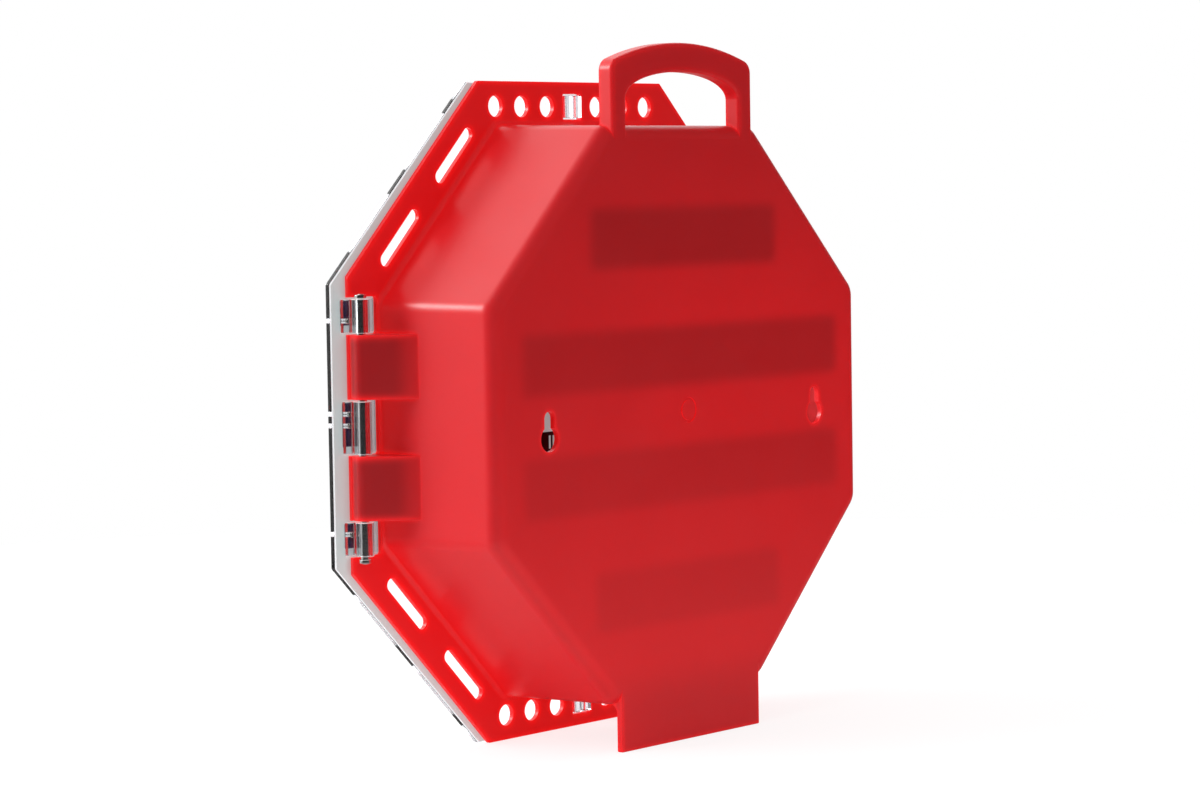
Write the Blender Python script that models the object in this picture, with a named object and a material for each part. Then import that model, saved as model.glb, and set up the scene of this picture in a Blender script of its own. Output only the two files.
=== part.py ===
"""Octagonal group lockout box: a red moulded tray with a flange for padlocks and a clear hinged door.

Metres, +Z up. The door is at -Y, the back face at +Y, and the hinge at +X. Pieces are drawn in box
coordinates: X from the tray's middle, Y from the flange's rear face, Z from the surface it stands on.
"""

import math

import bmesh
import bpy
from mathutils import Matrix, Vector

# Flange: the flat octagon round the mouth of the tray
BOX_HEIGHT = 0.343
BOX_WIDTH = 0.343
FLANGE_CORNER_HALF = 0.0735
FLANGE_THICKNESS = 0.0028
FLANGE_HINGE_CHAMFER = 0.0010

# Tray: the hollow octagon behind the flange
TRAY_MARGIN = 0.0229
TRAY_SIDE_MARGIN = 0.0209
TRAY_SLANT_MARGIN = 0.0246
TRAY_DEPTH = 0.0762
TRAY_DRAFT = 0.0017
TRAY_WALL = 0.0030
TRAY_CORNER_RADIUS = 0.0090
TRAY_BACK_RADIUS = 0.0080
TRAY_FOOT_RADIUS = 0.0018

# Padlock holes, slots and tab windows
HOLE_DIAMETER = 0.0110
HOLE_PITCH = 0.0201
HOLE_EDGE = 0.0130
SLOT_LENGTH = 0.0370
SLOT_WIDTH = 0.0068
SLOT_EDGE = 0.0136
SLOT_PITCH = 0.0580
WINDOW_WIDTH = 0.0143
WINDOW_HEIGHT = 0.0134
DOOR_HOLE_EXTRA = 0.0040
DOOR_SLOT_EXTRA = 0.0030
HOLES_EACH_SIDE = 3

# Keyholes and the gate mark on the back, the reach as a share of the box's width
KEYHOLE_REACH_SHARE = 0.3178
KEYHOLE_DROP = 0.0078
KEYHOLE_DIAMETER = 0.0128
KEYHOLE_SLOT_WIDTH = 0.0074
KEYHOLE_SLOT_RISE = 0.0138
GATE_OUTER_DIAMETER = 0.0134
GATE_INNER_DIAMETER = 0.0100
GATE_DEPTH = 0.0005

# Carrying handle and foot, level with the back face
HANDLE_HALF_WIDTH = 0.0570
HANDLE_RISE = 0.0180
HANDLE_TOP_RADIUS = 0.1650
HANDLE_CORNER_RADIUS = 0.0070
HANDLE_LEG_WIDTH = 0.0110
HANDLE_BAR_HEIGHT = 0.0150
HANDLE_SPRING_DROP = 0.0290
HANDLE_ROOT_DROP = 0.0550
HANDLE_DEPTH = 0.0100
HANDLE_ROUND = 0.0020
FOOT_HALF_WIDTH = 0.0568
FOOT_THICKNESS = 0.0038
FOOT_ROOT = 0.0420
FOOT_FILLET = 0.0055

# Hinge
PIN_DIAMETER = 0.0048
PIN_INSET = 0.0036
PIN_STANDOFF = 0.0048
PIN_END_SHOW = 0.0004
PIN_END_PLAY = 0.0016
PIN_CHAMFER = 0.0005
HINGE_DROP = 0.0008
BARREL_RADIUS = 0.0046
HOOD_HEIGHT = 0.0321
HOOD_WALL_REACH = 0.0273
MIDDLE_KNUCKLE_HEIGHT = 0.0262
END_KNUCKLE_HEIGHT = 0.0167
HOOD_GAP = 0.0009
LEAF_OUTBOARD = 0.0023
LEAF_INBOARD = 0.0193
LEAF_THICKNESS = 0.0020
WEB_THICKNESS = 0.0038
NOTCH_CLEARANCE = 0.0009
RING_DIAMETER = 0.0062
RING_THICKNESS = 0.0020
RIVET_DIAMETER = 0.0018
RIVET_SETBACK = 0.0022
RIVET_END_REACH = 0.0530
RIVET_MIDDLE_REACH = 0.0068
RIVET_CENTRE_REACH = 0.0010
RIVET_REAR_DIAMETER = 0.0030
RIVET_FRONT_DIAMETER = 0.0042
RIVET_HEAD = 0.0008

# Door and label
DOOR_THICKNESS = 0.0026
DOOR_OVERHANG = 0.0094
DOOR_CORNER_EXTRA = 0.0050
DOOR_HINGE_SIDE_HALF = 0.0707
DOOR_INSET = 0.0005
DOOR_RUNNING_GAP = 0.0007
LABEL_THICKNESS = 0.0004
LABEL_INSET = 0.0006
LABEL_WINDOW_WIDTH = 0.2000
LABEL_WINDOW_HEIGHT = 0.0880
LABEL_WINDOW_RADIUS = 0.0080
LABEL_WINDOW_RISE = 0.0600
TAB_CLEARANCE = 0.0009
TAB_REACH = 0.0012
TAB_SLOT_WIDTH = 0.0030
TAB_SLOT_DEPTH = 0.0030

# Key rails on the inside of the back wall, as shares of the box's height and width
RAIL_PITCH_SHARE = 0.1784
RAIL_HEIGHT_SHARE = 0.0875
RAIL_LONG_SHARE = 0.7464
RAIL_SHORT_SHARE = 0.4373
RAIL_THICKNESS = 0.0024
RAIL_CENTRE_DROP = 0.0017
HOOK_PITCH = 0.0230
HOOK_WIDTH = 0.0036
HOOK_REACH = 0.0110
HOOK_ROD = 0.0034
HOOK_TIP = 0.0062
HOOK_DROP = 0.0070

# Clearances and the overrun of cuts
SEAT_GAP = 0.0003
PIN_GAP = 0.0003
OVERRUN = 0.0010
SINK = 0.0005

# Facets
SMOOTH_ANGLE = 35
HOLE_SIDES = 16
SMALL_SIDES = 12
CORNER_STEPS = 3
ARCH_STEPS = 6
ROUND_STEPS = 4
EDGE_STEPS = 2

MIDDLE = BOX_HEIGHT / 2
SIDE = BOX_WIDTH / 2
BACK = TRAY_DEPTH
KEYHOLE_REACH = BOX_WIDTH * KEYHOLE_REACH_SHARE
HANDLE_TOP = BOX_HEIGHT + HANDLE_RISE
HANDLE_SPRING = HANDLE_TOP - HANDLE_SPRING_DROP
HANDLE_ROOT = HANDLE_TOP - HANDLE_ROOT_DROP
RAIL_PITCH = BOX_HEIGHT * RAIL_PITCH_SHARE
RAIL_HEIGHT = BOX_HEIGHT * RAIL_HEIGHT_SHARE
RAIL_LONG = BOX_WIDTH * RAIL_LONG_SHARE
RAIL_SHORT = BOX_WIDTH * RAIL_SHORT_SHARE
HINGE_X = SIDE - PIN_INSET
HINGE_Y = PIN_STANDOFF
HINGE_Z = MIDDLE - HINGE_DROP
LABEL_REAR = -FLANGE_THICKNESS - DOOR_RUNNING_GAP
LABEL_FRONT = LABEL_REAR - LABEL_THICKNESS
DOOR_REAR = LABEL_FRONT - SEAT_GAP
DOOR_FRONT = DOOR_REAR - DOOR_THICKNESS
LEAF_FRONT = LABEL_REAR + SEAT_GAP
LEAF_REAR = LEAF_FRONT + LEAF_THICKNESS
RIVET_FRONT = DOOR_FRONT - SEAT_GAP - RIVET_HEAD
HOOD_START = MIDDLE_KNUCKLE_HEIGHT / 2 + HOOD_GAP
END_KNUCKLE_START = HOOD_START + HOOD_HEIGHT + HOOD_GAP
END_KNUCKLE_END = END_KNUCKLE_START + END_KNUCKLE_HEIGHT
PIN_TOP = END_KNUCKLE_END + SEAT_GAP + RING_THICKNESS + PIN_END_SHOW
PIN_BOTTOM = PIN_TOP + PIN_END_PLAY
RIVET_X = SIDE + LEAF_OUTBOARD - RIVET_SETBACK


def clear_scene():
    for obj in list(bpy.data.objects):
        bpy.data.objects.remove(obj, do_unlink=True)


def make_material(name, color, roughness, metallic=0.0, transmission=0.0):
    material = bpy.data.materials.new(name)
    material.use_nodes = True
    shader = material.node_tree.nodes["Principled BSDF"]
    shader.inputs["Base Color"].default_value = (*color, 1.0)
    shader.inputs["Roughness"].default_value = roughness
    shader.inputs["Metallic"].default_value = metallic
    shader.inputs["Transmission Weight"].default_value = transmission
    material.diffuse_color = (*color, 1.0)
    return material


def make_empty(name, place, parent=None):
    empty = bpy.data.objects.new(name, None)
    bpy.context.collection.objects.link(empty)
    empty.location = place
    empty.parent = parent
    return empty


def make_object(name, bm, carrier, material=None):
    """Turns a bmesh in box coordinates into an object under its carrier, whose place it is drawn from."""
    bmesh.ops.recalc_face_normals(bm, faces=bm.faces)
    mesh = bpy.data.meshes.new(name)
    bm.to_mesh(mesh)
    bm.free()
    if carrier.parent:
        mesh.transform(Matrix.Translation(-carrier.location))
    obj = bpy.data.objects.new(name, mesh)
    bpy.context.collection.objects.link(obj)
    obj.parent = carrier
    if material:
        mesh.materials.append(material)
    return obj


def make_helper(name, bm, carrier):
    obj = make_object(name, bm, carrier)
    obj.hide_render = True
    obj.display_type = "WIRE"
    return obj


def combine(obj, helper, operation):
    modifier = obj.modifiers.new(f"{operation.title()} {helper.name}", "BOOLEAN")
    modifier.operation = operation
    modifier.object = helper
    modifier.solver = "EXACT"


def smooth(obj):
    obj.data.shade_smooth()
    obj.data.set_sharp_from_angle(angle=math.radians(SMOOTH_ANGLE))


def add_prism(bm, outline, start, end, axis="Y"):
    """Extrudes a closed outline from start to end: (x, z) points for Y, (x, y) for Z, (y, z) for X."""
    if axis == "X":
        points, step = [(start, a, b) for a, b in outline], (end - start, 0, 0)
    elif axis == "Y":
        points, step = [(a, start, b) for a, b in outline], (0, end - start, 0)
    else:
        points, step = [(a, b, start) for a, b in outline], (0, 0, end - start)
    face = bm.faces.new([bm.verts.new(point) for point in points])
    made = bmesh.ops.extrude_face_region(bm, geom=[face])
    moved = [item for item in made["geom"] if isinstance(item, bmesh.types.BMVert)]
    bmesh.ops.translate(bm, verts=moved, vec=step)


def bridge(bm, low, high):
    for i in range(len(low)):
        j = (i + 1) % len(low)
        bm.faces.new((low[i], low[j], high[j], high[i]))


def add_loft(bm, rings):
    """A closed solid through rings of equal count."""
    rows = [[bm.verts.new(point) for point in ring] for ring in rings]
    for low, high in zip(rows, rows[1:]):
        bridge(bm, low, high)
    bm.faces.new(rows[0])
    bm.faces.new(rows[-1])


def arc(cx, cy, radius, start, end, steps):
    """Points from angle start to end in degrees, both ends included."""
    angles = [math.radians(start + (end - start) * i / steps) for i in range(steps + 1)]
    return [(cx + radius * math.cos(a), cy + radius * math.sin(a)) for a in angles]


def circle(cx, cy, radius, sides=HOLE_SIDES):
    return arc(cx, cy, radius, 0, 360, sides)[:-1]


def capsule(cx, cy, length, width, turn):
    """A slot with round ends, its length turned from the first axis by turn degrees."""
    half = (length - width) / 2
    ends = arc(half, 0, width / 2, -90, 90, HOLE_SIDES // 2)
    ends += arc(-half, 0, width / 2, 90, 270, HOLE_SIDES // 2)
    c, s = math.cos(math.radians(turn)), math.sin(math.radians(turn))
    return [(cx + c * a - s * b, cy + s * a + c * b) for a, b in ends]


def rectangle(cx, cy, width, height):
    w, h = width / 2, height / 2
    return [(cx - w, cy - h), (cx + w, cy - h), (cx + w, cy + h), (cx - w, cy + h)]


def rounded_rectangle(cx, cy, width, height, radius):
    w, h = width / 2 - radius, height / 2 - radius
    points = arc(cx + w, cy + h, radius, 0, 90, CORNER_STEPS)
    points += arc(cx - w, cy + h, radius, 90, 180, CORNER_STEPS)
    points += arc(cx - w, cy - h, radius, 180, 270, CORNER_STEPS)
    points += arc(cx + w, cy - h, radius, 270, 360, CORNER_STEPS)
    return points


def flange_outline():
    c = FLANGE_CORNER_HALF
    low, high = MIDDLE - c, MIDDLE + c
    return [
        (c, 0), (SIDE, low), (SIDE, high), (c, BOX_HEIGHT),
        (-c, BOX_HEIGHT), (-SIDE, high), (-SIDE, low), (-c, 0),
    ]


def door_outline(inset):
    """The flange's octagon, pulled out on the hinge side and drawn in by inset all round."""
    c = FLANGE_CORNER_HALF
    hinge_c = c + DOOR_CORNER_EXTRA
    hinge_side = SIDE + DOOR_OVERHANG - inset
    low, high = inset, BOX_HEIGHT - inset
    return [
        (hinge_c, low), (hinge_side, MIDDLE - DOOR_HINGE_SIDE_HALF),
        (hinge_side, MIDDLE + DOOR_HINGE_SIDE_HALF), (hinge_c, high),
        (-c, high), (inset - SIDE, MIDDLE + c), (inset - SIDE, MIDDLE - c), (-c, low),
    ]


def tray_sides():
    """The tray's sides at the flange, each as (outward angle in degrees, distance from the middle)."""
    rise, run = MIDDLE - FLANGE_CORNER_HALF, SIDE - FLANGE_CORNER_HALF
    turn = math.degrees(math.atan2(run, rise))
    flange_reach = (FLANGE_CORNER_HALF * rise + MIDDLE * run) / math.hypot(rise, run)
    level, upright = MIDDLE - TRAY_MARGIN, SIDE - TRAY_SIDE_MARGIN
    slant = flange_reach - TRAY_SLANT_MARGIN
    return [
        (0, upright), (turn, slant), (90, level), (180 - turn, slant),
        (180, upright), (180 + turn, slant), (270, level), (360 - turn, slant),
    ]


def tray_ring(draw_in, corner_radius, y):
    """The tray's octagon drawn in all round, with rounded corners, as a ring of points at depth y."""
    sides = tray_sides()
    following = sides[1:] + [(360, sides[0][1])]
    ring = []
    for (first, first_reach), (second, second_reach) in zip(sides, following):
        near = first_reach - draw_in - corner_radius
        far = second_reach - draw_in - corner_radius
        turn, bend = math.radians(first), math.radians(second - first)
        shift = (far - near * math.cos(bend)) / math.sin(bend)
        x = near * math.cos(turn) - shift * math.sin(turn)
        z = near * math.sin(turn) + shift * math.cos(turn)
        for a, b in arc(x, z, corner_radius, first, second, CORNER_STEPS):
            ring.append(Vector((a, y, MIDDLE + b)))
    return ring


def side_patterns():
    """The flange's straight sides, each as (middle x, middle z, direction along the side in degrees)."""
    return {
        "top": (0, BOX_HEIGHT, 0),
        "bottom": (0, 0, 180),
        "latch": (-SIDE, MIDDLE, 90),
    }


def slanted_sides():
    """The slanted sides, each as (middle x, middle z, direction along the side in degrees)."""
    c = FLANGE_CORNER_HALF
    slope = math.degrees(math.atan2(MIDDLE - c, SIDE - c))
    x, rise = (SIDE + c) / 2, (MIDDLE + c) / 2
    return [
        (x, MIDDLE + rise, -slope), (-x, MIDDLE + rise, slope),
        (-x, MIDDLE - rise, 180 - slope), (x, MIDDLE - rise, 180 + slope),
    ]


def along(side, distance, inward):
    """A point on a side's pattern: distance along it and inward from the edge."""
    x, z, turn = side
    c, s = math.cos(math.radians(turn)), math.sin(math.radians(turn))
    return x + c * distance + s * inward, z + s * distance - c * inward


def padlock_holes(diameter):
    outlines = []
    for side in side_patterns().values():
        for k in range(1, HOLES_EACH_SIDE + 1):
            for sign in (-1, 1):
                x, z = along(side, sign * k * HOLE_PITCH, HOLE_EDGE)
                outlines.append(circle(x, z, diameter / 2))
    return outlines


def padlock_slots(length, width):
    outlines = []
    for side in slanted_sides():
        for sign in (-1, 1):
            x, z = along(side, sign * SLOT_PITCH / 2, SLOT_EDGE)
            outlines.append(capsule(x, z, length, width, side[2]))
    return outlines


def tab_windows(shrink):
    """The windows of the snap tabs by side, each a rectangle made smaller all round by shrink."""
    windows = {}
    for name, side in side_patterns().items():
        x, z = along(side, 0, HOLE_EDGE)
        width, height = WINDOW_WIDTH - 2 * shrink, WINDOW_HEIGHT - 2 * shrink
        if name == "latch":
            width, height = height, width
        windows[name] = rectangle(x, z, width, height)
    return windows


def knuckle_spans():
    return {
        "top": (HINGE_Z + END_KNUCKLE_START, HINGE_Z + END_KNUCKLE_END),
        "middle": (HINGE_Z - MIDDLE_KNUCKLE_HEIGHT / 2, HINGE_Z + MIDDLE_KNUCKLE_HEIGHT / 2),
        "bottom": (HINGE_Z - END_KNUCKLE_END, HINGE_Z - END_KNUCKLE_START),
    }


def rivet_heights():
    reaches = (RIVET_END_REACH, RIVET_MIDDLE_REACH, RIVET_CENTRE_REACH, -RIVET_END_REACH)
    return [HINGE_Z + reach for reach in reaches]


def tray_solid():
    """The outside of the tray, with a small fillet at the flange and a round back edge."""
    slope = TRAY_DRAFT / TRAY_DEPTH
    rings = [
        tray_ring(-TRAY_FOOT_RADIUS, TRAY_CORNER_RADIUS, SINK - FLANGE_THICKNESS),
        tray_ring(-TRAY_FOOT_RADIUS, TRAY_CORNER_RADIUS, 0),
        tray_ring(0, TRAY_CORNER_RADIUS, TRAY_FOOT_RADIUS),
    ]
    for a, b in arc(0, 0, TRAY_BACK_RADIUS, 0, 90, ROUND_STEPS):
        y = BACK - TRAY_BACK_RADIUS + b
        rings.append(tray_ring(slope * y + TRAY_BACK_RADIUS - a, TRAY_CORNER_RADIUS, y))
    bm = bmesh.new()
    add_loft(bm, rings)
    return bm


def tray_hollow():
    """The inside of the tray, a wall's thickness in from the outside."""
    slope = TRAY_DRAFT / TRAY_DEPTH
    radius = TRAY_CORNER_RADIUS - TRAY_WALL
    inner_round = TRAY_BACK_RADIUS - TRAY_WALL
    rings = [tray_ring(TRAY_WALL, radius, -FLANGE_THICKNESS - OVERRUN)]
    for a, b in arc(0, 0, inner_round, 0, 90, ROUND_STEPS):
        y = BACK - TRAY_BACK_RADIUS + b
        rings.append(tray_ring(TRAY_WALL + slope * y + inner_round - a, radius, y))
    bm = bmesh.new()
    add_loft(bm, rings)
    return bm


def flange_cuts():
    """Everything that goes through the flange from front to rear."""
    bm = bmesh.new()
    front, rear = -FLANGE_THICKNESS - OVERRUN, OVERRUN
    for outline in padlock_holes(HOLE_DIAMETER) + padlock_slots(SLOT_LENGTH, SLOT_WIDTH):
        add_prism(bm, outline, front, rear)
    for outline in tab_windows(0).values():
        add_prism(bm, outline, front, rear)
    inner = SIDE - LEAF_INBOARD - NOTCH_CLEARANCE
    outer = SIDE + OVERRUN
    for low, high in knuckle_spans().values():
        centre, height = (low + high) / 2, high - low + 2 * HOOD_GAP
        notch = rectangle((inner + outer) / 2, centre, outer - inner, height)
        add_prism(bm, notch, front, rear)
    return bm


def hinge_hoods():
    """Two hoods over the pin, round outside, each with a slope that climbs to the tray's wall."""
    root = SIDE - TRAY_SIDE_MARGIN - TRAY_WALL / 2
    run, climb = HINGE_X - root, HOOD_WALL_REACH - HINGE_Y
    lean = math.atan2(climb, -run) - math.acos(BARREL_RADIUS / math.hypot(run, climb))
    outline = [(SIDE - SINK, -SINK)]
    outline += arc(HINGE_X, HINGE_Y, BARREL_RADIUS, 0, math.degrees(lean), ARCH_STEPS)
    outline += [(root, HOOD_WALL_REACH), (root, -SINK)]
    bm = bmesh.new()
    for low in (HINGE_Z + HOOD_START, HINGE_Z - HOOD_START - HOOD_HEIGHT):
        add_prism(bm, outline, low, low + HOOD_HEIGHT, "Z")
    return bm


def handle_crown():
    """The handle's outer line from its right side over the low arc to its left side."""
    reach = HANDLE_TOP_RADIUS - HANDLE_CORNER_RADIUS
    x = HANDLE_HALF_WIDTH - HANDLE_CORNER_RADIUS
    rise = math.sqrt(reach ** 2 - x ** 2)
    lean = math.degrees(math.atan2(rise, x))
    centre = HANDLE_TOP - HANDLE_TOP_RADIUS
    right = arc(x, centre + rise, HANDLE_CORNER_RADIUS, 0, lean, CORNER_STEPS)
    top = arc(0, centre, HANDLE_TOP_RADIUS, lean, 180 - lean, ARCH_STEPS)[1:-1]
    return right + top + [(-x, z) for x, z in right[::-1]]


def handle_solid():
    half = HANDLE_HALF_WIDTH - HANDLE_LEG_WIDTH
    rise = HANDLE_TOP - HANDLE_BAR_HEIGHT - HANDLE_SPRING
    unit = arc(0, 0, 1, 180, 0, 2 * ARCH_STEPS)
    inner = [(half * c, HANDLE_SPRING + rise * s) for c, s in unit]
    outline = [(HANDLE_HALF_WIDTH, HANDLE_ROOT)] + handle_crown()
    outline += [(-HANDLE_HALF_WIDTH, HANDLE_ROOT), (-half, HANDLE_ROOT)]
    outline += inner + [(half, HANDLE_ROOT)]
    bm = bmesh.new()
    add_prism(bm, outline, BACK - HANDLE_DEPTH, BACK)
    return bm


def foot_solid():
    """The plate below the back face, with a hollow curve in front where it meets the tray."""
    under = TRAY_MARGIN + TRAY_DRAFT
    front = BACK - FOOT_THICKNESS
    outline = [(BACK, 0), (BACK, FOOT_ROOT), (front - FOOT_FILLET, FOOT_ROOT)]
    outline += arc(front - FOOT_FILLET, under - FOOT_FILLET, FOOT_FILLET, 90, 0, CORNER_STEPS)
    outline += [(front, 0)]
    bm = bmesh.new()
    add_prism(bm, outline, -FOOT_HALF_WIDTH, FOOT_HALF_WIDTH, "X")
    return bm


def back_cuts():
    """The two keyholes, wide end down, through the back wall."""
    bm = bmesh.new()
    z = MIDDLE - KEYHOLE_DROP
    radius, half = KEYHOLE_DIAMETER / 2, KEYHOLE_SLOT_WIDTH / 2
    meet = math.degrees(math.asin(half / radius))
    for x in (-KEYHOLE_REACH, KEYHOLE_REACH):
        outline = arc(x, z, radius, 90 + meet, 450 - meet, HOLE_SIDES)
        outline += arc(x, z + KEYHOLE_SLOT_RISE - half, half, 0, 180, HOLE_SIDES // 2)
        add_prism(bm, outline, BACK - TRAY_WALL - OVERRUN, BACK + OVERRUN)
    return bm


def gate_mark():
    """The ring left in the back face by the mould's gate."""
    bm = bmesh.new()
    outer, inner = GATE_OUTER_DIAMETER / 2, GATE_INNER_DIAMETER / 2
    deep, clear = BACK - GATE_DEPTH, BACK + OVERRUN
    rows = []
    for radius, y in ((outer, deep), (outer, clear), (inner, clear), (inner, deep)):
        rows.append([bm.verts.new((x, y, z)) for x, z in circle(0, MIDDLE, radius)])
    for low, high in zip(rows, rows[1:] + rows[:1]):
        bridge(bm, low, high)
    return bm


def pin_bore(radius, low, high):
    bm = bmesh.new()
    add_prism(bm, circle(HINGE_X, HINGE_Y, radius), low, high, "Z")
    return bm


def flange_chamfer():
    """A small slope on the flange's front edge beside the hinge, which the opening door swings past."""
    edge, front = SIDE + OVERRUN, -FLANGE_THICKNESS - OVERRUN
    leg = FLANGE_HINGE_CHAMFER + 2 * OVERRUN
    outline = [(edge, front), (edge, front + leg), (edge - leg, front)]
    bm = bmesh.new()
    add_prism(bm, outline, -OVERRUN, BOX_HEIGHT + OVERRUN, "Z")
    return bm


def build_body(box, material):
    body = make_object("body_shell", tray_solid(), box, material)
    flange = bmesh.new()
    add_prism(flange, flange_outline(), -FLANGE_THICKNESS, 0)
    handle = make_helper("handle_form", handle_solid(), box)
    bevel = handle.modifiers.new("Round edges", "BEVEL")
    bevel.width = HANDLE_ROUND
    bevel.segments = EDGE_STEPS
    bevel.limit_method = "ANGLE"
    bevel.angle_limit = math.radians(2 * SMOOTH_ANGLE)
    bore_span = (HINGE_Z - END_KNUCKLE_START, HINGE_Z + END_KNUCKLE_START)
    added = [
        make_helper("flange_form", flange, box),
        make_helper("hood_form", hinge_hoods(), box),
        handle,
        make_helper("foot_form", foot_solid(), box),
    ]
    removed = [
        make_helper("hollow_cutter", tray_hollow(), box),
        make_helper("flange_cutter", flange_cuts(), box),
        make_helper("chamfer_cutter", flange_chamfer(), box),
        make_helper("bore_cutter", pin_bore(PIN_DIAMETER / 2 + PIN_GAP, *bore_span), box),
        make_helper("keyhole_cutter", back_cuts(), box),
        make_helper("gate_cutter", gate_mark(), box),
    ]
    for helper in added:
        combine(body, helper, "UNION")
    for helper in removed:
        combine(body, helper, "DIFFERENCE")
    smooth(body)


def sheet_cuts(front, rear, rivet_radius):
    """The holes that the door and its label share, a little wider than the flange's."""
    bm = bmesh.new()
    outlines = padlock_holes(HOLE_DIAMETER + DOOR_HOLE_EXTRA)
    outlines += padlock_slots(SLOT_LENGTH + DOOR_SLOT_EXTRA, SLOT_WIDTH + DOOR_SLOT_EXTRA)
    for z in rivet_heights():
        outlines.append(circle(RIVET_X, z, rivet_radius, SMALL_SIDES))
    for outline in outlines:
        add_prism(bm, outline, front - OVERRUN, rear + OVERRUN)
    return bm


def build_door(hinge, clear, printed):
    rivet_hole = RIVET_DIAMETER / 2 + SEAT_GAP
    door = bmesh.new()
    add_prism(door, door_outline(DOOR_INSET), DOOR_FRONT, DOOR_REAR)
    panel = make_object("door_panel", door, hinge, clear)
    holes = sheet_cuts(DOOR_FRONT, DOOR_REAR, rivet_hole)
    combine(panel, make_helper("door_cutter", holes, hinge), "DIFFERENCE")

    sheet = bmesh.new()
    add_prism(sheet, door_outline(DOOR_INSET + LABEL_INSET), LABEL_FRONT, LABEL_REAR)
    label = make_object("door_label", sheet, hinge, printed)
    cuts = sheet_cuts(LABEL_FRONT, LABEL_REAR, rivet_hole)
    ends = (LABEL_FRONT - OVERRUN, LABEL_REAR + OVERRUN)
    for outline in tab_windows(0).values():
        add_prism(cuts, outline, *ends)
    window = (LABEL_WINDOW_WIDTH, LABEL_WINDOW_HEIGHT, LABEL_WINDOW_RADIUS)
    add_prism(cuts, rounded_rectangle(0, MIDDLE + LABEL_WINDOW_RISE, *window), *ends)
    combine(label, make_helper("label_cutter", cuts, hinge), "DIFFERENCE")


def knuckle_solid(low, high):
    """A leaf behind the door with a barrel on a short web, one shape from end to end."""
    half = WEB_THICKNESS / 2
    meet = math.degrees(math.asin(half / BARREL_RADIUS))
    inner, outer = SIDE - LEAF_INBOARD, SIDE + LEAF_OUTBOARD
    outline = [(inner, LEAF_FRONT), (outer, LEAF_FRONT), (outer, LEAF_REAR)]
    outline += [(HINGE_X + half, LEAF_REAR)]
    outline += arc(HINGE_X, HINGE_Y, BARREL_RADIUS, meet - 90, 270 - meet, HOLE_SIDES)
    outline += [(HINGE_X - half, LEAF_REAR), (inner, LEAF_REAR)]
    bm = bmesh.new()
    add_prism(bm, outline, low, high, "Z")
    return bm


def build_knuckles(hinge, clear):
    span = (HINGE_Z - END_KNUCKLE_END - OVERRUN, HINGE_Z + END_KNUCKLE_END + OVERRUN)
    bore = make_helper("knuckle_bore_cutter", pin_bore(PIN_DIAMETER / 2 + PIN_GAP, *span), hinge)
    rivets = bmesh.new()
    for z in rivet_heights():
        outline = circle(RIVET_X, z, RIVET_DIAMETER / 2 + SEAT_GAP, SMALL_SIDES)
        add_prism(rivets, outline, LEAF_FRONT - OVERRUN, LEAF_REAR + OVERRUN)
    rivets = make_helper("knuckle_rivet_cutter", rivets, hinge)
    for name, (low, high) in knuckle_spans().items():
        knuckle = make_object(f"hinge_knuckle_{name}", knuckle_solid(low, high), hinge, clear)
        combine(knuckle, bore, "DIFFERENCE")
        combine(knuckle, rivets, "DIFFERENCE")
        smooth(knuckle)


def build_rivets(hinge, metal):
    leaf_side, door_side = LEAF_REAR + SEAT_GAP, DOOR_FRONT - SEAT_GAP
    shank, rear, front = RIVET_DIAMETER / 2, RIVET_REAR_DIAMETER / 2, RIVET_FRONT_DIAMETER / 2
    edge = RIVET_HEAD / 2
    profile = [
        (door_side - RIVET_HEAD, front - edge), (door_side - edge, front), (door_side, front),
        (door_side, shank), (leaf_side, shank),
        (leaf_side, rear), (leaf_side + edge, rear), (leaf_side + RIVET_HEAD, rear - edge),
    ]
    for number, height in enumerate(rivet_heights(), 1):
        rings = []
        for y, radius in profile:
            rings.append([(x, y, z) for x, z in circle(RIVET_X, height, radius, SMALL_SIDES)])
        bm = bmesh.new()
        add_loft(bm, rings)
        smooth(make_object(f"knuckle_rivet_{number}", bm, hinge, metal))


def build_pin(box, metal):
    radius = PIN_DIAMETER / 2
    low, high = HINGE_Z - PIN_BOTTOM, HINGE_Z + PIN_TOP
    profile = [
        (low, radius - PIN_CHAMFER), (low + PIN_CHAMFER, radius),
        (high - PIN_CHAMFER, radius), (high, radius - PIN_CHAMFER),
    ]
    bm = bmesh.new()
    add_loft(bm, [[(x, y, z) for x, y in circle(HINGE_X, HINGE_Y, r)] for z, r in profile])
    smooth(make_object("hinge_pin", bm, box, metal))

    ring_starts = {
        "top": high - PIN_END_SHOW - RING_THICKNESS,
        "bottom": low + PIN_END_SHOW,
    }
    for name, start in ring_starts.items():
        end = start + RING_THICKNESS
        bm = bmesh.new()
        add_prism(bm, circle(HINGE_X, HINGE_Y, RING_DIAMETER / 2), start, end, "Z")
        ring = make_object(f"pin_ring_{name}", bm, box, metal)
        bore = pin_bore(radius + PIN_GAP, start - OVERRUN, end + OVERRUN)
        combine(ring, make_helper(f"ring_bore_{name}_cutter", bore, box), "DIFFERENCE")
        smooth(ring)


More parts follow.
